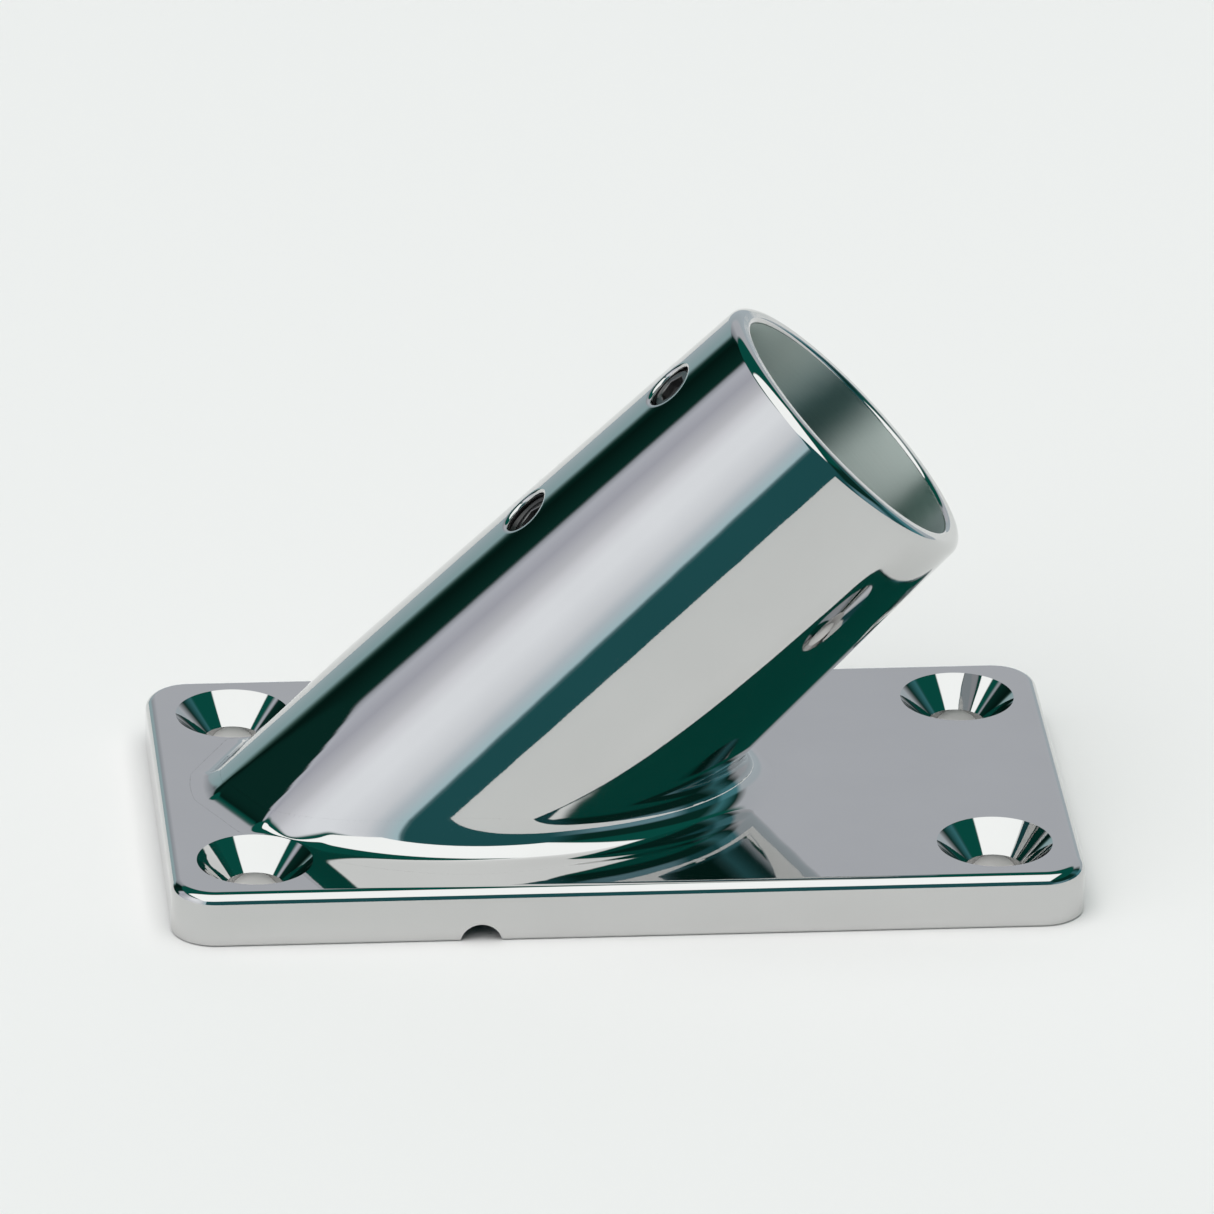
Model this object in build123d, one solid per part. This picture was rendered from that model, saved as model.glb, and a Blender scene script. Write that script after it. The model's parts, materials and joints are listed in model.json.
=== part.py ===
"""Stanchion base: a rectangular deck plate with a 45 degree socket for a 25 mm tube.

Millimetres.  The origin is the middle of the plate's underside, +Z is up off the deck, +X is the
way the socket leans and +Y is across the plate.
"""
from build123d import *
import math
import os

# Deck plate
plate_length = 82.0
plate_width = 46.0
plate_thickness = 5.0
plate_corner_radius = 4.0
top_edge_radius = 1.1
bottom_edge_radius = 0.3

# Countersunk holes for the four M5 deck screws
deck_hole_spacing_x = 66.5
deck_hole_spacing_y = 31.0
deck_hole_radius = 2.65
countersink_mouth_radius = 5.2
countersink_angle = 90.0

# Drain groove across the underside, a shallow round channel that empties the bore
drain_x = -13.5
drain_depth = 1.6
drain_radius = 1.9

# Socket, a tapered round tube whose axis meets the plate's top face at socket_foot_x
socket_foot_x = -13.2
socket_lean = 45.0
socket_length = 48.4
socket_mouth_radius = 14.6
socket_foot_radius = 16.0
bore_radius = 12.6
rim_outer_round = 1.0
rim_inner_round = 0.4

# Weld fillet round the socket's foot, ground and polished to a plain hollow curve
foot_weld_radius = 2.5

# Set screws: M5 x 0.8, in two tapped holes square to the socket's axis along its upper side
screw_distances_from_mouth = {"upper": 8.5, "lower": 26.0}
tapped_hole_radius = 2.24
tapped_hole_lip_round = 0.5
screw_radius = 2.2
screw_length = 1.6
screw_gap_to_bore = 0.05
screw_end_chamfer = 0.25
hex_key_width = 2.5
hex_socket_depth = 0.8
cup_mouth_radius = 1.25
cup_depth = 0.35

# Cutting tools run past the faces that they cut by this much
overrun = 1.0

# Two radii closer than this belong to the same edge
same_radius = 0.01

# How a round or a box sits on its plane: standing on it, or hanging below it
standing = (Align.CENTER, Align.CENTER, Align.MIN)
hanging = (Align.CENTER, Align.CENTER, Align.MAX)

lean = math.radians(socket_lean)
socket_axis = Vector(math.cos(lean), 0, math.sin(lean))
socket_upper_side = Vector(-math.sin(lean), 0, math.cos(lean))
socket_foot = Vector(socket_foot_x, 0, plate_thickness)


def socket_radius(distance):
    """Outer radius of the socket, at a distance along its axis from the plate's top face."""
    taper = (socket_mouth_radius - socket_foot_radius) / socket_length
    return socket_foot_radius + taper * distance


def square_to_socket(distance):
    """Plane square to the socket's axis.  Its X points down, so round faces have their seams there."""
    origin = socket_foot + socket_axis * distance
    return Plane(origin=origin, x_dir=-socket_upper_side, z_dir=socket_axis)


def across_socket(distance):
    """Plane on the socket's axis, whose Z points out through the upper side."""
    origin = socket_foot + socket_axis * distance
    return Plane(origin=origin, x_dir=socket_axis, z_dir=socket_upper_side)


def base_block():
    """The plate without its holes: round corners, a soft top edge and a broken bottom edge."""
    outline = RectangleRounded(plate_length, plate_width, plate_corner_radius)
    block = extrude(outline, plate_thickness)
    block = fillet(block.faces().sort_by(Axis.Z)[-1].edges(), top_edge_radius)
    return fillet(block.faces().sort_by(Axis.Z)[0].edges(), bottom_edge_radius)


def socket_blank():
    """The solid tapered round, cut at 45 degrees where it stands on the plate."""
    start = -2 * socket_foot_radius
    height = socket_length - start
    cone = Cone(socket_radius(start), socket_mouth_radius, height, align=standing)
    below_plate_top = Box(4 * plate_length, 4 * plate_width, 4 * plate_length, align=hanging)
    return square_to_socket(start) * cone - Pos(0, 0, plate_thickness) * below_plate_top


def bore_tool():
    """The 25 mm tube's space: it runs from past the mouth down through the plate."""
    start = -3 * bore_radius
    height = socket_length - start + overrun
    tool = Cylinder(bore_radius, height, align=standing)
    return square_to_socket(start) * tool


def countersink_tool():
    """A through hole with a countersink, hanging from the plate's top face."""
    half_angle = math.radians(countersink_angle / 2)
    head_depth = (countersink_mouth_radius - deck_hole_radius) / math.tan(half_angle)
    mouth_radius = countersink_mouth_radius + overrun * math.tan(half_angle)
    head = Cone(deck_hole_radius, mouth_radius, head_depth + overrun, align=standing)
    shank = Cylinder(deck_hole_radius, plate_thickness + 2 * overrun)
    return Pos(0, 0, plate_thickness - head_depth) * head + Pos(0, 0, plate_thickness / 2) * shank


def base_plate():
    """The deck plate, drilled, countersunk, bored for the tube and grooved underneath."""
    plate = base_block() - bore_tool()
    for spot in GridLocations(deck_hole_spacing_x, deck_hole_spacing_y, 2, 2):
        plate -= spot * countersink_tool()
    groove = Rot(90, 0, 0) * Cylinder(drain_radius, plate_width + 2 * overrun)
    return plate - Pos(drain_x, 0, drain_depth - drain_radius) * groove


def mouth_edge(socket, radius):
    """The round edge of the given radius at the socket's mouth."""
    circles = socket.edges().filter_by(GeomType.CIRCLE)
    return [edge for edge in circles if abs(edge.radius - radius) < same_radius]


def tapped_hole_lips(socket):
    """The outer edges of the tapped holes, where they break through the socket's upper side."""
    wall_middle = (bore_radius + socket_mouth_radius) / 2
    hole_edges = socket.edges().filter_by(GeomType.BSPLINE)
    heights = [(edge.center() - socket_foot).dot(socket_upper_side) for edge in hole_edges]
    return [edge for edge, height in zip(hole_edges, heights) if height > wall_middle]


def tube_socket():
    """The socket with its rounded rim, its bore and its two tapped holes."""
    socket = socket_blank() - bore_tool()
    socket = fillet(mouth_edge(socket, bore_radius), rim_inner_round)
    socket = fillet(mouth_edge(socket, socket_mouth_radius), rim_outer_round)
    for from_mouth in screw_distances_from_mouth.values():
        drill = Cylinder(tapped_hole_radius, 2 * socket_foot_radius, align=standing)
        socket -= across_socket(socket_length - from_mouth) * drill
    return fillet(tapped_hole_lips(socket), tapped_hole_lip_round)


def screw_head_room():
    """The room straight above a countersink, which the weld leaves clear for the screw's head."""
    return Pos(0, 0, plate_thickness) * Cylinder(countersink_mouth_radius, plate_thickness, align=standing)


def foot_weld():
    """The fillet of weld metal that fills the corner between the plate and the socket."""
    plate = base_block()
    socket = socket_blank()
    blank = plate + socket
    seam = blank.edges().filter_by(GeomType.ELLIPSE)
    weld = fillet(seam, foot_weld_radius) - plate - socket
    for spot in GridLocations(deck_hole_spacing_x, deck_hole_spacing_y, 2, 2):
        weld -= spot * screw_head_room()
    return weld


def set_screw(from_mouth):
    """A short cup-point set screw, wound back until its point just clears the bore."""
    body = Cylinder(screw_radius, screw_length, align=standing)
    body = chamfer(body.edges().filter_by(GeomType.CIRCLE), screw_end_chamfer)
    hexagon = RegularPolygon(hex_key_width / 2, 6, major_radius=False)
    key_socket = extrude(Pos(0, 0, screw_length - hex_socket_depth) * hexagon, hex_socket_depth + overrun)
    cup = Cone(cup_mouth_radius, 0, cup_depth, align=standing)
    seat = across_socket(socket_length - from_mouth).offset(bore_radius + screw_gap_to_bore)
    return seat * (body - key_socket - cup)


nodes = {"base_plate": base_plate(), "tube_socket": tube_socket(), "foot_weld": foot_weld()}
for place, from_mouth in screw_distances_from_mouth.items():
    nodes["set_screw_" + place] = set_screw(from_mouth)

os.makedirs("parts", exist_ok=True)
for name, shape in nodes.items():
    export_step(shape, "parts/" + name + ".step")
    print(name, len(shape.solids()), "solid,", round(shape.volume, 1), "mm3")
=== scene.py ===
import json
import math
import bpy
import numpy as np
from mathutils import Matrix, Vector


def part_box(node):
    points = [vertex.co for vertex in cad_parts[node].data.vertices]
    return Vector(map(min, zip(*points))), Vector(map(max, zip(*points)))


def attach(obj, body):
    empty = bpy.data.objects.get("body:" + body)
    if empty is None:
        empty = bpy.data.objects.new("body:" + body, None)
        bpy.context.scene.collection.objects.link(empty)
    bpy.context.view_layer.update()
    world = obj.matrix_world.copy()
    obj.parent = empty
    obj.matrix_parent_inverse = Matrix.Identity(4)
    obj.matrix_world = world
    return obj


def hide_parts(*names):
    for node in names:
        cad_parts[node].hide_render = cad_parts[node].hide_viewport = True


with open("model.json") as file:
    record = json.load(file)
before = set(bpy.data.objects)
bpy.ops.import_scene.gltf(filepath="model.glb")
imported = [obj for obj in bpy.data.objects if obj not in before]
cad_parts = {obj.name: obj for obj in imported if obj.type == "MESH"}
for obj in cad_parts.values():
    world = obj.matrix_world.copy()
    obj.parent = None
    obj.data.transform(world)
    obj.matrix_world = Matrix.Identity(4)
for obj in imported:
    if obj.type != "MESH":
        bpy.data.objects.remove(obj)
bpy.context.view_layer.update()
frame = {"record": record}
MM = 0.001
mounts = {mount["name"]: mount for mount in frame["record"]["mounts"]}


# ------------------------------------------------------------------------------------------------
# Deck plate.  A rectangle of 5 mm stainless steel plate, cut, ground and mirror polished all over.
# Its corners and its top edge are rounded, four countersunk holes take the deck screws, the tube's
# bore runs through it at 45 degrees, and a drain groove crosses its underside.
# ------------------------------------------------------------------------------------------------
plate_low, plate_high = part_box("base_plate")
plate_top = plate_high.z
plate_corner_radius = 4.0 * MM
plate_top_round = 1.1 * MM
plate_bottom_round = 0.3 * MM
CORNER_STEPS = 28
ROUND_STEPS = 12
BORE_CUT_STEPS = 256
HOLE_CUT_STEPS = 128
DRAIN_CUT_STEPS = 96

bolts = mounts["deck_bolts"]["dims"]
hole_radius = bolts["hole_r_mm"] * MM
hole_centres = [
    (side_x * bolts["spacing_x_mm"] / 2 * MM, side_y * bolts["spacing_y_mm"] / 2 * MM)
    for side_x in (-1, 1)
    for side_y in (-1, 1)
]
countersink_mouth = 5.2 * MM
countersink_floor = plate_top - (countersink_mouth - hole_radius)

tube_axis = Vector(mounts["stanchion_bore"]["axis"]).normalized()
tube_across = Vector((0, 1, 0))
tube_upper = tube_axis.cross(tube_across)
bore_mouth = Vector(mounts["stanchion_bore"]["pos_m"])
bore_radius = mounts["stanchion_bore"]["dims"]["r_mm"] * MM
tube_foot = bore_mouth - tube_axis * ((bore_mouth.z - plate_top) / tube_axis.z)

drain_x = -13.5 * MM
drain_radius = 1.9 * MM
drain_centre_z = 1.6 * MM - drain_radius
cut_past = 2.0 * MM
bore_cut_reach = 60.0 * MM

# A face belongs to a surface when its middle is this near it, and is level when this much faces up.
near = 0.02 * MM
LEVEL = 0.9999


def put_in_scene(name, data):
    """Makes the object for a mesh, a light or a camera and links it into the scene."""
    made = bpy.data.objects.new(name, data)
    bpy.context.scene.collection.objects.link(made)
    return made


class Skin:
    """Patches of surface with the true normal at every corner, sewn into one mesh at the end."""

    def __init__(self):
        self.points = []
        self.normals = []
        self.faces = []
        self.finishes = []
        self.count = 0

    def patch(self, points, normals, wrap=False, finish=0):
        """Adds a grid of quads, (rows, columns, 3).  wrap joins the last column to the first."""
        points = np.asarray(points, float)
        rows, columns = points.shape[:2]
        normals = np.broadcast_to(np.asarray(normals, float), points.shape)
        index = np.arange(rows * columns).reshape(rows, columns) + self.count
        ahead = np.roll(index, -1, axis=1) if wrap else index[:, 1:]
        here = index if wrap else index[:, :-1]
        quads = np.stack([here[:-1], ahead[:-1], ahead[1:], here[1:]], -1).reshape(-1, 4)
        self.points.append(points.reshape(-1, 3))
        self.normals.append(normals.reshape(-1, 3))
        self.faces.append(quads)
        self.finishes += [finish] * len(quads)
        self.count += rows * columns

    def sew(self, name):
        """Makes the object, with faces turned outwards and the true normals kept."""
        points = np.concatenate(self.points)
        normals = np.concatenate(self.normals)
        quads = np.concatenate(self.faces)
        # Points in one cell of a fine grid are joined.  Many points lie on round values, and the
        # shift keeps those away from the edges between cells.
        sewing_grid = 1e-7
        grid_shift = 0.237
        cells = np.round(points / sewing_grid + grid_shift).astype(np.int64)
        first, joined = np.unique(cells, axis=0, return_index=True, return_inverse=True)[1:]
        joined = joined.reshape(-1)
        faces, corner_normals, finishes = [], [], []
        for quad, finish in zip(quads, self.finishes):
            corners = [c for i, c in enumerate(quad) if joined[c] != joined[quad[i - 1]]]
            if len(corners) < 3:
                continue
            a, b, c = points[corners[0]], points[corners[1]], points[corners[2]]
            facing = np.cross(b - a, c - a)
            if len(corners) == 4:
                facing = np.cross(c - a, points[corners[3]] - b)
            if facing @ normals[corners].sum(0) < 0:
                corners.reverse()
            faces.append([int(joined[c]) for c in corners])
            corner_normals += [tuple(normals[c]) for c in corners]
            finishes.append(finish)
        mesh = bpy.data.meshes.new(name)
        mesh.from_pydata(points[first].tolist(), [], faces)
        mesh.polygons.foreach_set("material_index", finishes)
        mesh.polygons.foreach_set("use_smooth", [True] * len(faces))
        mesh.normals_split_custom_set(corner_normals)
        return put_in_scene(name, mesh)


def unit(vectors):
    """The same directions, each one unit long."""
    return vectors / np.linalg.norm(vectors, axis=-1, keepdims=True)


def closed_solid(name, loops):
    """A solid from loops of points, each joined to the next, with a flat face at each end."""
    around = len(loops[0])
    faces = [list(reversed(range(around)))]
    for row in range(len(loops) - 1):
        for i in range(around):
            j = (i + 1) % around
            faces.append([row * around + i, row * around + j,
                          (row + 1) * around + j, (row + 1) * around + i])
    faces.append([(len(loops) - 1) * around + i for i in range(around)])
    mesh = bpy.data.meshes.new(name)
    mesh.from_pydata([point for loop in loops for point in loop], [], faces)
    return put_in_scene(name, mesh)


def plate_outline(inset, height):
    """One loop of points round the plate, inset from its sides."""
    centre_x = plate_high.x - plate_corner_radius
    centre_y = plate_high.y - plate_corner_radius
    reach = plate_corner_radius - inset
    points = []
    for quarter, (side_x, side_y) in enumerate([(1, 1), (-1, 1), (-1, -1), (1, -1)]):
        for step in range(CORNER_STEPS + 1):
            turn = (quarter + step / CORNER_STEPS) * math.pi / 2
            points.append((side_x * centre_x + reach * math.cos(turn),
                           side_y * centre_y + reach * math.sin(turn), height))
    return points


def plate_block():
    """The plain block: loops of points from the underside, round the bottom edge, up and over."""
    loops = []
    for step in range(ROUND_STEPS // 2 + 1):
        turn = step / (ROUND_STEPS // 2) * math.pi / 2
        inset = plate_bottom_round * (1 - math.sin(turn))
        loops.append(plate_outline(inset, plate_bottom_round * (1 - math.cos(turn))))
    for step in range(ROUND_STEPS + 1):
        turn = step / ROUND_STEPS * math.pi / 2
        height = plate_top - plate_top_round * (1 - math.sin(turn))
        loops.append(plate_outline(plate_top_round * (1 - math.cos(turn)), height))
    return closed_solid("deck_plate", loops)


def turned_cutter(profile, steps, origin, along, sideways):
    """A closed turned solid: profile is (distance along, radius) pairs round the line from origin."""
    other = along.cross(sideways)
    turns = [2 * math.pi * step / steps for step in range(steps)]
    round_line = [sideways * math.cos(turn) + other * math.sin(turn) for turn in turns]
    loops = [[origin + along * distance + offset * radius for offset in round_line]
             for distance, radius in profile]
    return closed_solid("cutter", loops)


def cut(piece, cutter):
    """Takes the cutter away from the piece, as a drill or a mill does."""
    modifier = piece.modifiers.new("cut", "BOOLEAN")
    modifier.operation = "DIFFERENCE"
    modifier.solver = "EXACT"
    modifier.object = cutter
    bpy.context.view_layer.update()
    evaluated = piece.evaluated_get(bpy.context.evaluated_depsgraph_get())
    carved = bpy.data.meshes.new_from_object(evaluated)
    piece.modifiers.clear()
    spent = piece.data
    piece.data = carved
    bpy.data.meshes.remove(spent)
    bpy.data.meshes.remove(cutter.data)


def rounded_block_normal(point):
    """The outward normal of the block's side and its two edge roundings, at a point on them."""
    core_x = plate_high.x - plate_corner_radius
    core_y = plate_high.y - plate_corner_radius
    past = Vector((max(abs(point.x) - core_x, 0), max(abs(point.y) - core_y, 0)))
    reach = past.length
    outward = Vector((math.copysign(past.x, point.x), math.copysign(past.y, point.y))) / reach
    inset = plate_corner_radius - reach
    rise = 0.0
    level = plate_top_round
    if point.z > plate_top - plate_top_round:
        rise = point.z - (plate_top - plate_top_round)
    elif point.z < plate_bottom_round:
        rise = point.z - plate_bottom_round
        level = plate_bottom_round
    flat = (level - inset) if rise else 1.0
    return Vector((outward.x * flat, outward.y * flat, rise)).normalized()


def lies_flat(face):
    """True for the plate's top face and its underside."""
    from_level = min(abs(face.center.z), abs(face.center.z - plate_top))
    return abs(face.normal.z) > LEVEL and from_level < near


def lies_in_bore(face):
    """True for the faces of the tube's bore."""
    out_of_bore = face.center - tube_foot
    out_of_bore -= tube_axis * out_of_bore.dot(tube_axis)
    return not lies_flat(face) and out_of_bore.length < bore_radius + near


def lies_in_drain(face):
    """True for the faces of the drain groove's round wall, but not for the plate's sides beside it."""
    faces_a_side = abs(face.normal.y) > 0.5
    from_centre = math.hypot(face.center.x - drain_x, face.center.z - drain_centre_z)
    return not faces_a_side and from_centre < drain_radius + near


def plate_normals(mesh):
    """The true normal at each face corner, by which surface the face was cut as."""
    normals = []
    for face in mesh.polygons:
        middle = face.center
        hole = min(hole_centres, key=lambda c: math.hypot(middle.x - c[0], middle.y - c[1]))
        from_hole = math.hypot(middle.x - hole[0], middle.y - hole[1])
        flat, in_bore, in_drain = lies_flat(face), lies_in_bore(face), lies_in_drain(face)
        for corner in face.vertices:
            point = mesh.vertices[corner].co
            if flat:
                normal = Vector((0, 0, math.copysign(1, face.normal.z)))
            elif from_hole < countersink_mouth + near:
                normal = Vector((hole[0] - point.x, hole[1] - point.y, 0)).normalized()
                if middle.z > countersink_floor:
                    normal = (normal + Vector((0, 0, 1))).normalized()
            elif in_bore:
                offset = point - tube_foot
                normal = (tube_axis * offset.dot(tube_axis) - offset).normalized()
            elif in_drain:
                normal = Vector((drain_x - point.x, 0, drain_centre_z - point.z)).normalized()
            else:
                normal = rounded_block_normal(point)
            normals.append(tuple(normal))
    return normals


deck_plate = plate_block()
up = Vector((0, 0, 1))
along_plate = Vector((1, 0, 0))
cut(deck_plate, turned_cutter(
    [(-bore_cut_reach, bore_radius), (bore_cut_reach, bore_radius)],
    BORE_CUT_STEPS, tube_foot, tube_axis, tube_upper))
for centre_x, centre_y in hole_centres:
    drill_start = Vector((centre_x, centre_y, 0))
    cut(deck_plate, turned_cutter(
        [(-cut_past, hole_radius), (countersink_floor, hole_radius),
         (plate_top + cut_past, countersink_mouth + cut_past)],
        HOLE_CUT_STEPS, drill_start, up, along_plate))
cut(deck_plate, turned_cutter(
    [(plate_low.y - cut_past, drain_radius), (plate_high.y + cut_past, drain_radius)],
    DRAIN_CUT_STEPS, Vector((drain_x, 0, drain_centre_z)), tube_across, along_plate))
deck_plate.data.polygons.foreach_set("use_smooth", [True] * len(deck_plate.data.polygons))
deck_plate.data.normals_split_custom_set(plate_normals(deck_plate.data))


def add_socket(tree, name, kind, in_out, value=None):
    """A named input or output on a node group."""
    socket = tree.interface.new_socket(name=name, in_out=in_out, socket_type=kind)
    if value is not None:
        socket.default_value = value


def polishing_marks():
    """What a buffing wheel leaves: faint waves, fine scratches, and patches of haze."""
    tree = bpy.data.node_groups.new("polishing_marks", "ShaderNodeTree")
    add_socket(tree, "Base Roughness", "NodeSocketFloat", "INPUT", 0.03)
    add_socket(tree, "Haze", "NodeSocketFloat", "INPUT", 0.03)
    add_socket(tree, "Wave", "NodeSocketFloat", "INPUT", 0.02)
    add_socket(tree, "Scratch", "NodeSocketFloat", "INPUT", 0.02)
    add_socket(tree, "Metal", "NodeSocketColor", "INPUT", (0.62, 0.62, 0.62, 1))
    add_socket(tree, "Color", "NodeSocketColor", "OUTPUT")
    add_socket(tree, "Roughness", "NodeSocketFloat", "OUTPUT")
    add_socket(tree, "Normal", "NodeSocketVector", "OUTPUT")
    nodes, links = tree.nodes, tree.links
    given = nodes.new("NodeGroupInput")
    result = nodes.new("NodeGroupOutput")
    place = nodes.new("ShaderNodeTexCoord")

    patches = nodes.new("ShaderNodeTexNoise")
    patches.inputs["Scale"].default_value = 95.0
    patches.inputs["Detail"].default_value = 4.0
    links.new(place.outputs["Object"], patches.inputs["Vector"])
    haze_here = nodes.new("ShaderNodeMath")
    haze_here.operation = "MULTIPLY"
    links.new(patches.outputs["Fac"], haze_here.inputs[0])
    links.new(given.outputs["Haze"], haze_here.inputs[1])

    stretch = nodes.new("ShaderNodeMapping")
    stretch.inputs["Rotation"].default_value = (0.0, math.radians(-45), 0.0)
    stretch.inputs["Scale"].default_value = (160.0, 5200.0, 5200.0)
    links.new(place.outputs["Object"], stretch.inputs["Vector"])
    lines = nodes.new("ShaderNodeTexNoise")
    lines.inputs["Scale"].default_value = 1.0
    lines.inputs["Detail"].default_value = 3.0
    links.new(stretch.outputs["Vector"], lines.inputs["Vector"])
    deep_lines = nodes.new("ShaderNodeMapRange")
    deep_lines.interpolation_type = "SMOOTHSTEP"
    deep_lines.inputs["From Min"].default_value = 0.60
    deep_lines.inputs["From Max"].default_value = 0.78
    links.new(lines.outputs["Fac"], deep_lines.inputs["Value"])
    line_roughness = nodes.new("ShaderNodeMath")
    line_roughness.operation = "MULTIPLY_ADD"
    line_roughness.inputs[1].default_value = 0.02
    links.new(deep_lines.outputs["Result"], line_roughness.inputs[0])
    links.new(haze_here.outputs[0], line_roughness.inputs[2])
    roughness = nodes.new("ShaderNodeMath")
    roughness.operation = "ADD"
    links.new(line_roughness.outputs[0], roughness.inputs[0])
    links.new(given.outputs["Base Roughness"], roughness.inputs[1])
    links.new(roughness.outputs[0], result.inputs["Roughness"])

    waves = nodes.new("ShaderNodeTexNoise")
    waves.inputs["Scale"].default_value = 210.0
    waves.inputs["Detail"].default_value = 1.0
    links.new(place.outputs["Object"], waves.inputs["Vector"])
    wave_bump = nodes.new("ShaderNodeBump")
    wave_bump.inputs["Distance"].default_value = 0.0004
    links.new(given.outputs["Wave"], wave_bump.inputs["Strength"])
    links.new(waves.outputs["Fac"], wave_bump.inputs["Height"])
    line_bump = nodes.new("ShaderNodeBump")
    line_bump.inputs["Distance"].default_value = 0.00002
    links.new(given.outputs["Scratch"], line_bump.inputs["Strength"])
    links.new(lines.outputs["Fac"], line_bump.inputs["Height"])
    links.new(wave_bump.outputs["Normal"], line_bump.inputs["Normal"])
    links.new(line_bump.outputs["Normal"], result.inputs["Normal"])

    shade = nodes.new("ShaderNodeMapRange")
    shade.inputs["To Min"].default_value = 0.94
    shade.inputs["To Max"].default_value = 1.03
    links.new(patches.outputs["Fac"], shade.inputs["Value"])
    tinted = nodes.new("ShaderNodeVectorMath")
    tinted.operation = "SCALE"
    links.new(given.outputs["Metal"], tinted.inputs["Vector"])
    links.new(shade.outputs["Result"], tinted.inputs["Scale"])
    links.new(tinted.outputs["Vector"], result.inputs["Color"])
    return tree


def metal(name, marks, values):
    """A bare steel finish: the polishing marks drive its colour, roughness and normal."""
    material = bpy.data.materials.new(name)
    material.use_nodes = True
    nodes, links = material.node_tree.nodes, material.node_tree.links
    shader = nodes["Principled BSDF"]
    shader.inputs["Metallic"].default_value = 1.0
    worked = nodes.new("ShaderNodeGroup")
    worked.node_tree = marks
    for label, value in values.items():
        worked.inputs[label].default_value = value
    links.new(worked.outputs["Color"], shader.inputs["Base Color"])
    links.new(worked.outputs["Roughness"], shader.inputs["Roughness"])
    links.new(worked.outputs["Normal"], shader.inputs["Normal"])
    return material


marks = polishing_marks()
mirror_polish = {
    "Base Roughness": 0.014, "Haze": 0.035, "Wave": 0.02, "Scratch": 0.02,
    "Metal": (0.605, 0.605, 0.6, 1)}
polished_steel = metal("polished_steel", marks, mirror_polish)
# The milled finish is rough, and its near-black colour is painted shade for the recesses it covers:
# the plate's underside, bore and drain groove and the tapped threads.
milled_steel_painted_shade = metal("milled_steel_painted_shade", marks, {
    "Base Roughness": 0.36, "Haze": 0.2, "Wave": 0.0, "Scratch": 0.4,
    "Metal": (0.09, 0.09, 0.09, 1)})


def is_milled_painted_shade(face):
    """True where the polishing wheel doesn't reach: the underside, the bore and the drain groove.
    These take the milled finish, whose near-black colour is painted shade.
    """
    return face.center.z < near or lies_in_drain(face) or lies_in_bore(face)


deck_plate.data.materials.clear()
deck_plate.data.materials.append(polished_steel)
deck_plate.data.materials.append(milled_steel_painted_shade)
finishes = [int(is_milled_painted_shade(face)) for face in deck_plate.data.polygons]
deck_plate.data.polygons.foreach_set("material_index", finishes)
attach(deck_plate, "base")
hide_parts("base_plate")


# ------------------------------------------------------------------------------------------------
# Tube socket.  A thick stainless tube, turned to a slight taper outside and bored to take a 25 mm
# rail, then cut at 45 degrees and welded down.  The outside is mirror polished, the bore is left as
# the boring bar made it, and two M5 holes are tapped square to the axis along its upper side.
# ------------------------------------------------------------------------------------------------
mouth_distance = (bore_mouth - tube_foot).length + 0.4 * MM
rim_inner_round = 0.4 * MM
rim_outer_round = 1.0 * MM
socket_foot_radius = 16.0 * MM
socket_mouth_radius = 14.6 * MM
taper = (socket_foot_radius - socket_mouth_radius) / mouth_distance
taper_angle = math.atan(taper)
outer_wall_end = mouth_distance - 1.5 * rim_outer_round
tapped_holes = {"upper": mouth_distance - 8.5 * MM, "lower": mouth_distance - 26.0 * MM}
tapped_radius = 2.24 * MM
lip_round = 0.5 * MM
thread_pitch = 0.8 * MM
thread_depth = 0.25 * MM
thread_slope = 1.3
thread_crest = 0.15

# The thread runs out over a sixth of its length at each end.
THREAD_ENDS = 6

# The dressed flats: where they face, how far they stand from the axis, how soft their edges are,
# and where along the axis they run out.
flat_turn = math.radians(20)
flat_reach = 16.0 * MM
flat_edge = 0.03 * MM
flat_end = 1.5 * MM
flat_fade = 2.5 * MM

AROUND = 240
MITRE_ROUNDS = 12
FOOT_ROWS = 96
BAND_ROWS = 8
TOP_ROWS = 6
OPENING_ROWS = 10
PATCH_HALF = 12
PATCH_ROWS = 2 * PATCH_HALF
patch_half_length = 4.8 * MM
LIP_STEPS = 8
RIM_STEPS = 16
THREAD_STEPS = 64
POLISHED, BORED, MILLED_PAINTED_SHADE = 0, 1, 2

foot = np.array(tube_foot)
axis = np.array(tube_axis)
upper = np.array(tube_upper)
across = np.array(tube_across)
turns = np.arange(-AROUND // 2, AROUND // 2) * 2 * math.pi / AROUND


def outward(turn):
    """The direction out from the axis, at an angle round from the upper side."""
    turn = np.asarray(turn)[..., None]
    return np.cos(turn) * upper + np.sin(turn) * across


def outside_radius(distance):
    """The plain taper, at a distance along the axis from the plate's top."""
    return socket_foot_radius - taper * distance


def bore_wall_radius(distance):
    """The bore's radius at each distance: it doesn't taper."""
    return np.full_like(distance, bore_radius)


def dressed_flat(distance, turn):
    """Depth of the shallow flat that dressing the weld leaves on each flank, low on the socket."""
    across_flat = np.cos(np.clip(np.abs(turn) - flat_turn, -1, 1))
    depth = outside_radius(distance) - flat_reach / across_flat
    depth = (depth + np.sqrt(depth ** 2 + flat_edge ** 2)) / 2
    return depth * np.clip((flat_end - distance) / flat_fade, 0, 1)


def on_tube(distance, turn, radius):
    """Points at a distance along the axis, an angle round it and a radius from it."""
    distance, radius = np.asarray(distance)[..., None], np.asarray(radius)[..., None]
    return foot + axis * distance + outward(turn) * radius


def outside_normal(turn):
    """Out from the plain taper, which narrows towards the mouth."""
    return outward(turn) * math.cos(taper_angle) + axis * math.sin(taper_angle)


def bore_normal(turn):
    """In towards the axis."""
    return -outward(turn)


def wall_point(distance, turn):
    """A point on the outside, with the dressed flats."""
    return on_tube(distance, turn, outside_radius(distance) - dressed_flat(distance, turn))


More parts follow.
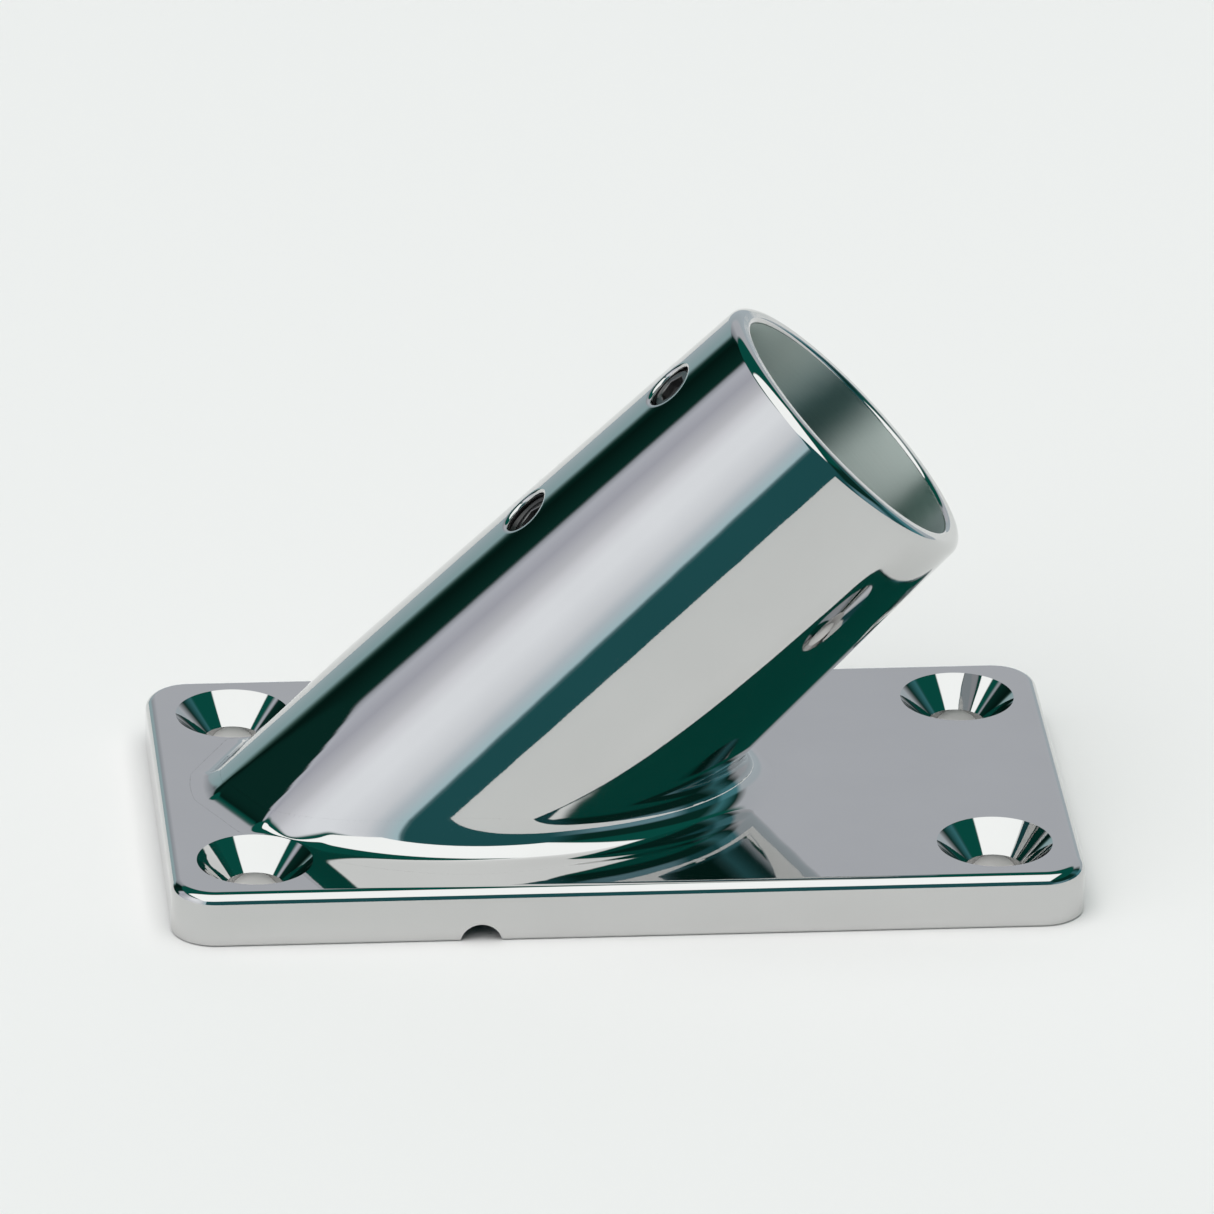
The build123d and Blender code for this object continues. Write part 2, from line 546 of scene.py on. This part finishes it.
def wall_normal(distance, turn):
    """The outward normal there, from the surface's own slopes."""
    step = 0.002 * MM
    swing = step / socket_foot_radius
    along = wall_point(distance + step, turn) - wall_point(distance - step, turn)
    around = wall_point(distance, turn + swing) - wall_point(distance, turn - swing)
    return unit(np.cross(along, around))


def mitre_distance(turn):
    """Where the outside meets the plate's top face, as a distance along the axis."""
    distance = -socket_foot_radius * np.cos(turn)
    for _ in range(MITRE_ROUNDS):
        distance = -np.cos(turn) * (outside_radius(distance) - dressed_flat(distance, turn))
    return distance


def patch_border(hole_distance):
    """The square of grid points round a hole, once round, as distances and angles."""
    span = np.arange(-PATCH_HALF, PATCH_HALF + 1)
    angle = span * 2 * math.pi / AROUND
    along = hole_distance + span / PATCH_HALF * patch_half_length
    low, high = along[0], along[-1]
    left, right = angle[0], angle[-1]
    distances = np.concatenate([np.full(PATCH_ROWS, low), along[:-1],
                                np.full(PATCH_ROWS, high), along[:0:-1]])
    angles = np.concatenate([angle[:-1], np.full(PATCH_ROWS, right),
                             angle[:0:-1], np.full(PATCH_ROWS, left)])
    return distances, angles


def ring_angles(hole_distance):
    """The angle, round the hole, of each point of its square."""
    distances, angles = patch_border(hole_distance)
    sideways = outside_radius(distances) * np.sin(angles)
    return np.arctan2(distances - hole_distance, sideways)


def wall_height(distance, sideways, radius_at):
    """How far above the axis the wall is, at a place seen square to the hole."""
    return np.sqrt(radius_at(distance) ** 2 - sideways ** 2)


def wall_bands(start, top):
    """Rows up the wall in bands, and whether each band leaves room for a hole's square."""
    bands = []
    level = start
    for hole in sorted(tapped_holes.values()):
        below_hole = hole - patch_half_length
        if below_hole > level + near:
            bands.append((np.linspace(level, below_hole, BAND_ROWS + 1), False))
        beside_hole = hole + np.arange(-PATCH_HALF, PATCH_HALF + 1) / PATCH_HALF * patch_half_length
        bands.append((beside_hole, True))
        level = beside_hole[-1]
    bands.append((np.linspace(level, top, TOP_ROWS + 1), False))
    return bands


def wall_with_holes(skin, outer, finish, row_ends):
    """The wall from the mitre to the rim, with a round opening in a square of grid at each hole."""
    normal_at = outside_normal if outer else bore_normal
    radius_at = outside_radius if outer else bore_wall_radius
    start, top = row_ends
    mitre = mitre_distance(turns) if outer else -bore_radius * np.cos(turns)
    blend = np.linspace(0, 1, FOOT_ROWS + 1)[:, None]
    distances = mitre + (start - mitre) * blend
    every_turn = np.broadcast_to(turns, distances.shape)
    if outer:
        foot_points = wall_point(distances, every_turn)
        foot_normals = wall_normal(distances, every_turn)
    else:
        foot_points = on_tube(distances, every_turn, radius_at(distances))
        foot_normals = normal_at(every_turn)
    skin.patch(foot_points, foot_normals, True, finish)
    for rows, holed in wall_bands(start, top):
        columns = turns
        if holed:
            columns = np.arange(PATCH_HALF, AROUND - PATCH_HALF + 1) * 2 * math.pi / AROUND
        distances = np.broadcast_to(rows[:, None], (len(rows), len(columns)))
        angles = np.broadcast_to(columns, distances.shape)
        points = on_tube(distances, angles, radius_at(distances))
        skin.patch(points, normal_at(angles), not holed, finish)
    for hole in tapped_holes.values():
        border_distance, border_angle = patch_border(hole)
        border_side = radius_at(border_distance) * np.sin(border_angle)
        ring = ring_angles(hole)
        reach = tapped_radius + lip_round if outer else tapped_radius
        ring_side, ring_distance = reach * np.cos(ring), hole + reach * np.sin(ring)
        blend = np.linspace(0, 1, OPENING_ROWS + 1)[:, None]
        sideways = border_side + (ring_side - border_side) * blend
        distances = border_distance + (ring_distance - border_distance) * blend
        angles = np.arcsin(sideways / radius_at(distances))
        height = wall_height(distances, sideways, radius_at)
        points = (foot + axis * distances[..., None] + across * sideways[..., None]
                  + upper * height[..., None])
        skin.patch(points, normal_at(angles), True, finish)


def measured_normals(points, towards):
    """Normals of a closed-round grid from its own slopes, turned to the side of towards."""
    round_slope = np.roll(points, -1, axis=1) - np.roll(points, 1, axis=1)
    down_slope = np.gradient(points, axis=0)
    normals = unit(np.cross(round_slope, down_slope))
    flip = np.sign((normals * towards).sum(-1, keepdims=True))
    return normals * flip


def thread_tooth(height, turn):
    """The thread's form, 0 to 1, at a height and an angle round the hole or the screw."""
    phase = (height / thread_pitch + turn / (2 * math.pi)) % 1
    return np.clip(thread_slope * np.abs(2 * phase - 1) - thread_crest, 0, 1)


def tapped_hole(skin, hole):
    """A rounded lip, then the thread's helix, down to where the hole opens into the bore."""
    ring = ring_angles(hole)
    radial = np.cos(ring)[:, None] * across + np.sin(ring)[:, None] * axis

    def height_of(reach, radius_at):
        return wall_height(hole + reach * np.sin(ring), reach * np.cos(ring), radius_at)

    mouth_reach = tapped_radius + lip_round
    mouth_height = height_of(mouth_reach, outside_radius)
    inner_height = height_of(tapped_radius, outside_radius)
    wall_start = inner_height - lip_round
    wall_end = height_of(tapped_radius, bore_wall_radius)
    rows = []
    for t in np.linspace(0, 1, LIP_STEPS + 1):
        reach = (1 - t) ** 2 * mouth_reach + (1 - (1 - t) ** 2) * tapped_radius
        height = (1 - t) ** 2 * mouth_height + 2 * t * (1 - t) * inner_height + t ** 2 * wall_start
        rows.append(foot + axis * hole + radial * reach + upper * height[:, None])
    lip = np.array(rows)
    skin.patch(lip, measured_normals(lip, upper - radial), True, POLISHED)
    rows = []
    for t in np.linspace(0, 1, THREAD_STEPS + 1):
        height = wall_start + (wall_end - wall_start) * t
        run_out = min(1.0, THREAD_ENDS * t, THREAD_ENDS * (1 - t))
        reach = tapped_radius + thread_depth * run_out * thread_tooth(height, ring)
        rows.append(foot + axis * hole + radial * reach[:, None] + upper * height[:, None])
    thread = np.array(rows)
    # The thread takes the milled finish, whose near-black colour is painted shade down the hole.
    skin.patch(thread, measured_normals(thread, -radial), True, MILLED_PAINTED_SHADE)


def round_rows(centre_distance, centre_radius, radius, start, end):
    """Rows of points and normals for a rounded edge that runs once round the axis."""
    centre = on_tube(centre_distance, turns, centre_radius)
    angles = np.linspace(start, end, RIM_STEPS + 1)[:, None, None]
    normals = outward(turns) * np.cos(angles) + axis * np.sin(angles)
    return centre + normals * radius, normals


def rim(skin):
    """The mouth's edge: a rounded outside, a narrow flat and a small rounding into the bore."""
    outer_centre = mouth_distance - rim_outer_round
    outer_centre_radius = outside_radius(outer_centre) - rim_outer_round / math.cos(taper_angle)
    outer_rows, outer_normals = round_rows(
        outer_centre, outer_centre_radius, rim_outer_round, taper_angle, math.pi / 2)
    inner_rows, inner_normals = round_rows(
        mouth_distance - rim_inner_round, bore_radius + rim_inner_round, rim_inner_round,
        math.pi / 2, math.pi)
    wall_end = on_tube(outer_wall_end, turns, outside_radius(outer_wall_end))
    skin.patch([wall_end, outer_rows[0]], outside_normal(turns), True, POLISHED)
    skin.patch(outer_rows, outer_normals, True, POLISHED)
    skin.patch([outer_rows[-1], inner_rows[0]], axis, True, POLISHED)
    skin.patch(inner_rows, inner_normals, True, POLISHED)


socket_skin = Skin()
grid_start = min(tapped_holes.values()) - patch_half_length
wall_with_holes(socket_skin, True, POLISHED, (grid_start, outer_wall_end))
wall_with_holes(socket_skin, False, BORED, (grid_start, mouth_distance - rim_inner_round))
for hole_distance in tapped_holes.values():
    tapped_hole(socket_skin, hole_distance)
rim(socket_skin)
outer_edge = wall_point(mitre_distance(turns), turns)
inner_edge = on_tube(-bore_radius * np.cos(turns), turns, bore_radius)
socket_skin.patch([outer_edge, inner_edge], (0, 0, -1), True, BORED)
tube_socket = socket_skin.sew("tube_socket_turned")


def bored_steel():
    """The inside of the bore: the fine rings of a boring bar, which smear light along the axis."""
    material = metal("bored_steel", marks, {
        "Base Roughness": 0.44, "Haze": 0.08, "Wave": 0.0, "Scratch": 0.0,
        "Metal": (0.66, 0.74, 0.71, 1)})
    nodes, links = material.node_tree.nodes, material.node_tree.links
    shader = nodes["Principled BSDF"]
    shader.inputs["Anisotropic"].default_value = 0.95
    shader.inputs["Anisotropic Rotation"].default_value = 0.25
    place = nodes.new("ShaderNodeTexCoord")
    along = nodes.new("ShaderNodeVectorMath")
    along.operation = "DOT_PRODUCT"
    along.inputs[1].default_value = tuple(tube_axis)
    links.new(place.outputs["Object"], along.inputs[0])
    rings = nodes.new("ShaderNodeTexNoise")
    rings.noise_dimensions = "1D"
    rings.inputs["Scale"].default_value = 4200.0
    rings.inputs["Detail"].default_value = 2.0
    links.new(along.outputs["Value"], rings.inputs["W"])
    ring_bump = nodes.new("ShaderNodeBump")
    ring_bump.inputs["Strength"].default_value = 0.15
    ring_bump.inputs["Distance"].default_value = 0.00003
    links.new(rings.outputs["Fac"], ring_bump.inputs["Height"])
    worked = next(node for node in nodes if node.type == "GROUP")
    links.new(worked.outputs["Normal"], ring_bump.inputs["Normal"])
    links.new(ring_bump.outputs["Normal"], shader.inputs["Normal"])
    surface = nodes.new("ShaderNodeNewGeometry")
    round_bore = nodes.new("ShaderNodeVectorMath")
    round_bore.operation = "CROSS_PRODUCT"
    round_bore.inputs[1].default_value = tuple(tube_axis)
    links.new(surface.outputs["Normal"], round_bore.inputs[0])
    links.new(round_bore.outputs["Vector"], shader.inputs["Tangent"])
    return material


tube_socket.data.materials.append(polished_steel)
tube_socket.data.materials.append(bored_steel())
tube_socket.data.materials.append(milled_steel_painted_shade)
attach(tube_socket, "base")
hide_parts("tube_socket")


# ------------------------------------------------------------------------------------------------
# Foot weld.  The bead that joins the socket to the plate, ground to a hollow curve round the
# socket's foot and polished with the rest.  It is broad where the corner is open, plain where the
# socket leans over it, and dressed back beside the countersinks so that the screws' heads fit.
# ------------------------------------------------------------------------------------------------
# How many times wider than its radius the weld is, where the corner is open and where it is tight.
weld_radius = 2.5 * MM
weld_ease = 1.6
weld_tight_ease = 1.05
weld_tight_from = math.radians(80)
weld_tight_over = math.radians(35)
weld_gap_to_countersink = 0.05 * MM
nothing_in_the_way = 1.0
GAP_BLEND = 6
WELD_AROUND = 480
WELD_STEPS = 28


def clear_of_countersinks(corner, away, leg):
    """Shortens the weld's foot, smoothly, where it would run over a countersink."""
    reach = countersink_mouth + weld_gap_to_countersink
    for centre in hole_centres:
        start = corner[:, :2] - np.array(centre)
        along = (start * away[:, :2]).sum(-1)
        inside = along ** 2 - (start ** 2).sum(-1) + reach ** 2
        meets = (inside > 0) & (along < 0)
        gap = np.where(meets, -along - np.sqrt(np.maximum(inside, 0)), nothing_in_the_way)
        gap = np.maximum(gap, weld_gap_to_countersink)
        leg = leg * gap / (leg ** GAP_BLEND + gap ** GAP_BLEND) ** (1 / GAP_BLEND)
    return leg


def weld_ring():
    """A hollow curve in the corner between plate and socket, eased into both of them."""
    turn = np.arange(WELD_AROUND) * 2 * math.pi / WELD_AROUND
    turn = np.where(turn > math.pi, turn - 2 * math.pi, turn)
    corner_distance = mitre_distance(turn)
    corner = wall_point(corner_distance, turn)
    wall = wall_normal(corner_distance, turn)
    floor = np.broadcast_to(np.array([0, 0, 1.0]), wall.shape)
    seam = unit(np.roll(corner, -1, axis=0) - np.roll(corner, 1, axis=0))
    along_floor = unit(np.cross(seam, floor))
    along_floor *= np.sign((along_floor * wall).sum(-1, keepdims=True))
    up_wall = unit(np.cross(seam, wall))
    up_wall *= np.sign(up_wall[:, 2:3])
    opening = np.arccos(np.clip((along_floor * up_wall).sum(-1), -1, 1))
    tight = np.clip((np.abs(turn) - weld_tight_from) / weld_tight_over, 0, 1)
    ease = weld_ease + (weld_tight_ease - weld_ease) * tight ** 2 * (3 - 2 * tight)
    leg = ease * weld_radius / np.tan(opening / 2)
    pull = ((4 - 4 / (ease * (1 + np.sin(opening / 2)))) / 3)[:, None]
    round_axis = np.cos(turn)[:, None] * across - np.sin(turn)[:, None] * upper
    top_distance = corner_distance + leg * (up_wall @ axis)
    top_turn = turn + leg * (up_wall * round_axis).sum(-1) / outside_radius(top_distance)
    top = wall_point(top_distance, top_turn)
    top_wall = wall_normal(top_distance, top_turn)
    foot_leg = clear_of_countersinks(corner, along_floor, leg)
    foot_edge = corner + along_floor * foot_leg[:, None]
    down = corner - top
    down -= top_wall * (down * top_wall).sum(-1, keepdims=True)
    top_pull = top + down * pull
    foot_pull = foot_edge + (corner - foot_edge) * pull
    points = np.array([
        (1 - t) ** 3 * foot_edge + 3 * (1 - t) ** 2 * t * foot_pull
        + 3 * (1 - t) * t ** 2 * top_pull + t ** 3 * top
        for t in np.linspace(0, 1, WELD_STEPS + 1)])
    normals = measured_normals(points, unit(floor + wall))
    normals[0] = floor
    normals[-1] = top_wall
    skin = Skin()
    skin.patch(points, normals, True)
    skin.patch([points[0], corner], (0, 0, -1), True)
    skin.patch([corner, points[-1]], -wall, True)
    return skin.sew("foot_weld_bead")


polished_bead = metal("polished_bead", marks, mirror_polish)
foot_weld = weld_ring()
foot_weld.data.materials.append(polished_bead)
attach(foot_weld, "base")
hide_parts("foot_weld")


# ------------------------------------------------------------------------------------------------
# Set screws.  Two M5 x 0.8 cup-point grub screws of stainless steel, with a 2.5 mm hexagon socket.
# They clamp the rail, and sit wound back in their holes until it is fitted.
# ------------------------------------------------------------------------------------------------
screw_crest = 2.2 * MM
screw_thread_depth = 0.25 * MM
screw_length = 1.6 * MM
screw_chamfer = 0.25 * MM
screw_seat = bore_radius + 0.05 * MM
key_flat = 1.25 * MM
key_depth = 0.8 * MM
key_drill_depth = 0.25 * MM
key_drill_radius = 0.9 * key_flat
key_edge_break = 0.08 * MM
cup_radius = 1.25 * MM
cup_depth = 0.35 * MM
SCREW_AROUND = 96
SCREW_ROWS = 48
SIXTH_TURN = math.pi / 3


def set_screw(name, hole):
    """The threaded barrel, its chamfered ends, the hexagon socket and the cup point."""
    turn = np.arange(SCREW_AROUND) * 2 * math.pi / SCREW_AROUND
    radial = np.cos(turn)[:, None] * axis + np.sin(turn)[:, None] * across

    def ring(reach, height):
        reach = np.broadcast_to(reach, turn.shape)[:, None]
        height = np.broadcast_to(height, turn.shape)[:, None]
        return foot + axis * hole + radial * reach + upper * (screw_seat + height)

    skin = Skin()
    barrel = []
    for height in np.linspace(0, screw_length, SCREW_ROWS + 1):
        reach = screw_crest - screw_thread_depth * thread_tooth(height, turn)
        from_end = min(height, screw_length - height)
        limit = screw_crest - screw_chamfer + from_end
        barrel.append(ring(np.minimum(reach, limit), height))
    barrel = np.array(barrel)
    skin.patch(barrel, measured_normals(barrel, radial), True)
    key_top, key_floor = screw_length, screw_length - key_depth
    flat_number = np.floor((turn + SIXTH_TURN / 2) / SIXTH_TURN)
    flat_middle = flat_number * SIXTH_TURN
    flat_out = np.cos(flat_middle)[:, None] * axis + np.sin(flat_middle)[:, None] * across
    hexagon = key_flat / np.cos(turn - flat_middle)
    skin.patch([barrel[-1], ring(hexagon + key_edge_break, key_top)], upper, True)
    skin.patch([ring(hexagon + key_edge_break, key_top), ring(hexagon, key_top - key_edge_break)],
               unit(np.array(upper - radial)), True)
    skin.patch([ring(hexagon, key_top - key_edge_break), ring(hexagon, key_floor)], -flat_out, True)
    skin.patch([ring(hexagon, key_floor), ring(key_drill_radius, key_floor)], upper, True)
    drill = unit(radial * -key_drill_depth + upper * key_drill_radius)
    skin.patch([ring(key_drill_radius, key_floor), ring(0.0, key_floor - key_drill_depth)],
               drill, True)
    skin.patch([barrel[0], ring(cup_radius, 0.0)], -upper, True)
    cup = unit(radial * -cup_depth - upper * cup_radius)
    skin.patch([ring(cup_radius, 0.0), ring(0.0, cup_depth)], cup, True)
    return skin.sew(name)


# The screws' near-black colour is painted shade for the holes they sit down in; the steel itself is
# stainless.
screw_steel_painted_shade = metal("screw_steel_painted_shade", marks, {
    "Base Roughness": 0.3, "Haze": 0.12, "Wave": 0.0, "Scratch": 0.3,
    "Metal": (0.16, 0.16, 0.16, 1)})
for place, hole_distance in tapped_holes.items():
    screw = set_screw("grub_screw_" + place, hole_distance)
    screw.data.materials.append(screw_steel_painted_shade)
    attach(screw, place + "_screw")
    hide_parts("set_screw_" + place)


# ------------------------------------------------------------------------------------------------
# Studio.  A round white table top, one soft light above it, and a dark room beyond with a pale
# screen behind the fitting and a big diffuser at its left, which is what the polish mirrors.
# ------------------------------------------------------------------------------------------------
table_radius = 0.5
TABLE_STEPS = 96
table_turns = [2 * math.pi * step / TABLE_STEPS for step in range(TABLE_STEPS)]
table_mesh = bpy.data.meshes.new("table_top")
table_mesh.from_pydata(
    [(table_radius * math.cos(turn), table_radius * math.sin(turn), 0) for turn in table_turns],
    [], [list(range(TABLE_STEPS))])
table_top = put_in_scene("table_top", table_mesh)
table_paper = bpy.data.materials.new("table_paper")
table_paper.use_nodes = True
paper = table_paper.node_tree.nodes["Principled BSDF"]
paper.inputs["Base Color"].default_value = (0.875, 0.85, 0.84, 1)
paper.inputs["Roughness"].default_value = 0.9
paper.inputs["Specular IOR Level"].default_value = 0.1
table_mesh.materials.append(table_paper)

overhead_light = bpy.data.lights.new("overhead_diffuser", "AREA")
overhead_light.size = 1.4
overhead_light.energy = 8.6
overhead_diffuser = put_in_scene("overhead_diffuser", overhead_light)
overhead_diffuser.location = (0, 0, 1.3)
overhead_diffuser.visible_glossy = False

dark_green = (0.004, 0.034, 0.026)
deep_shadow = (0.002, 0.012, 0.009)
gap_teal = (0.019, 0.105, 0.114)
low_stops = [
    (0, gap_teal), (6, gap_teal), (12, (0.08, 0.26, 0.3)), (28, (0.08, 0.26, 0.3)),
    (36, (0.50, 0.56, 0.60)), (100, (0.46, 0.53, 0.57)),
    (121, (0.33, 0.49, 0.51)), (125, (0.085, 0.165, 0.147)), (129, deep_shadow),
    (148, dark_green), (158, dark_green), (164, (0.56, 0.58, 0.66)), (200, (0.9, 0.92, 0.97)),
    (223, (1.0, 1.02, 1.06)), (230, (0.87, 0.91, 0.96)), (236, (0.66, 0.74, 0.80)),
    (242, (0.54, 0.74, 0.80)), (243.5, gap_teal), (290, gap_teal), (305, (0.16, 0.31, 0.36)),
    (335, (0.16, 0.31, 0.36)), (345, gap_teal), (358, gap_teal)]
high_stops = [
    (0, dark_green), (6, (0.03, 0.1, 0.1)), (13, (0.05, 0.2, 0.22)), (30, dark_green),
    (44, (0.56, 0.59, 0.63)), (96, (0.57, 0.59, 0.632)),
    (116, (0.30, 0.33, 0.36)), (122, dark_green), (130, deep_shadow), (151.5, dark_green),
    (154, (0.45, 0.47, 0.52)), (158, (0.64, 0.66, 0.73)), (170, (0.54, 0.55, 0.62)),
    (186, (0.76, 0.77, 0.82)), (193, (0.95, 0.96, 1.02)), (203, (1.1, 1.13, 1.18)),
    (214, (1.1, 1.13, 1.18)), (223, (1.0, 1.03, 1.08)), (230, (0.90, 0.93, 0.98)),
    (236, (0.66, 0.74, 0.80)), (242, (0.54, 0.74, 0.80)), (243.5, gap_teal), (290, gap_teal),
    (300, dark_green), (338, dark_green), (346, dark_green), (358, dark_green)]
ceiling = (0.004, 0.096, 0.074)
panel_white = (1.45, 1.48, 1.47)
backdrop = (0.96, 0.96, 0.96)
high_wall_rise = (11.0, 17.0)
ceiling_rise = (35.0, 40.0)
panel_span_x = (-0.95, 0.52)
panel_span_y = (-1.42, 0.18)
panel_edge = 0.05
panel_rise = (0.1, 0.2)
lowest_height = 0.05

world = bpy.data.worlds.new("studio_room")
world.use_nodes = True
bpy.context.scene.world = world
nodes, links = world.node_tree.nodes, world.node_tree.links
nodes.clear()
place = nodes.new("ShaderNodeTexCoord")
split = nodes.new("ShaderNodeSeparateXYZ")
links.new(place.outputs["Generated"], split.inputs["Vector"])


def room_math(operation, first, second=None):
    """A sum in the room's shader, on numbers or on other nodes' outputs."""
    node = nodes.new("ShaderNodeMath")
    node.operation = operation
    for slot_number, value in enumerate((first, second)):
        if value is None:
            continue
        if isinstance(value, (int, float)):
            node.inputs[slot_number].default_value = value
        else:
            links.new(value, node.inputs[slot_number])
    return node.outputs[0]


def room_blend(share, first, second):
    """The first colour where share is 0 and the second where it is 1."""
    node = nodes.new("ShaderNodeMix")
    node.data_type = "RGBA"
    links.new(share, node.inputs["Factor"])
    for socket, value in ((node.inputs[6], first), (node.inputs[7], second)):
        if isinstance(value, tuple):
            socket.default_value = (*value, 1)
        else:
            links.new(value, socket)
    return node.outputs[2]


def rise_between(value, low, high):
    """0 below low and 1 above high, with a smooth rise between them."""
    node = nodes.new("ShaderNodeMapRange")
    node.interpolation_type = "SMOOTHSTEP"
    node.inputs["From Min"].default_value = low
    node.inputs["From Max"].default_value = high
    links.new(value, node.inputs["Value"])
    return node.outputs["Result"]


def azimuth_ramp(azimuth, name, stops):
    """The colour of the room once round the horizon: stops are (degrees, colour)."""
    ramp = nodes.new("ShaderNodeValToRGB")
    ramp.label = name
    elements = ramp.color_ramp.elements
    for _ in range(len(stops) - 2):
        elements.new(0.5)
    for element, (degrees, colour) in zip(elements, stops):
        element.position = degrees / 360
        element.color = (*colour, 1)
    links.new(azimuth, ramp.inputs["Fac"])
    return ramp.outputs["Color"]


def inside_span(value, low, high, edge):
    """1 between low and high, falling to 0 over the soft edge outside them."""
    rising = rise_between(value, low - edge, low)
    falling = rise_between(value, high, high + edge)
    return room_math("SUBTRACT", rising, falling)


around_horizon = room_math("ARCTAN2", split.outputs["Y"], split.outputs["X"])
bearing = room_math("FRACT", room_math("DIVIDE", around_horizon, 2 * math.pi))
elevation = room_math("MULTIPLY", room_math("ARCSINE", split.outputs["Z"]), 180 / math.pi)
low_wall = azimuth_ramp(bearing, "low wall", low_stops)
high_wall = azimuth_ramp(bearing, "high wall", high_stops)
walls = room_blend(rise_between(elevation, *high_wall_rise), low_wall, high_wall)
room = room_blend(rise_between(elevation, *ceiling_rise), walls, ceiling)

height = room_math("MAXIMUM", split.outputs["Z"], lowest_height)
panel_x = room_math("DIVIDE", split.outputs["X"], height)
panel_y = room_math("DIVIDE", split.outputs["Y"], height)
over_panel = room_math("MULTIPLY", inside_span(panel_x, *panel_span_x, panel_edge),
                       inside_span(panel_y, *panel_span_y, panel_edge))
over_panel = room_math("MULTIPLY", over_panel, rise_between(split.outputs["Z"], *panel_rise))
room = room_blend(over_panel, room, panel_white)

seen = nodes.new("ShaderNodeLightPath")
shown = room_blend(seen.outputs["Is Camera Ray"], room, backdrop)
glow = nodes.new("ShaderNodeBackground")
links.new(shown, glow.inputs["Color"])
glow.inputs["Strength"].default_value = 1.0
world_output = nodes.new("ShaderNodeOutputWorld")
links.new(glow.outputs["Background"], world_output.inputs["Surface"])


# ------------------------------------------------------------------------------------------------
# Camera.  A long lens on a level stand, a little left of square to the plate and 25 degrees up.
# ------------------------------------------------------------------------------------------------
camera_azimuth = math.radians(-5.447)
camera_elevation = math.radians(25.365)
camera_roll = math.radians(-0.959)
camera_distance = 1.3114
aim_right = -0.237 * MM
aim_up = 19.925 * MM
SENSOR_MM = 36.0
LENS_MM = 429.05

back = Vector((math.sin(camera_azimuth) * math.cos(camera_elevation),
               -math.cos(camera_azimuth) * math.cos(camera_elevation), math.sin(camera_elevation)))
level_right = Vector((math.cos(camera_azimuth), math.sin(camera_azimuth), 0))
level_up = back.cross(level_right)
image_right = level_right * math.cos(camera_roll) - level_up * math.sin(camera_roll)
image_up = level_right * math.sin(camera_roll) + level_up * math.cos(camera_roll)
camera_place = back * camera_distance
aim = image_right * aim_right + image_up * aim_up
view_back = (camera_place - aim).normalized()
view_right = image_up.cross(view_back).normalized()
view_up = view_back.cross(view_right)
lens = bpy.data.cameras.new("camera")
lens.sensor_width = SENSOR_MM
lens.lens = LENS_MM
lens.clip_start = 0.05
lens.clip_end = 20.0
camera = put_in_scene("camera", lens)
camera.matrix_world = Matrix((
    (view_right.x, view_up.x, view_back.x, camera_place.x),
    (view_right.y, view_up.y, view_back.y, camera_place.y),
    (view_right.z, view_up.z, view_back.z, camera_place.z),
    (0, 0, 0, 1)))
bpy.context.scene.camera = camera
bpy.context.scene.view_settings.view_transform = "Standard"
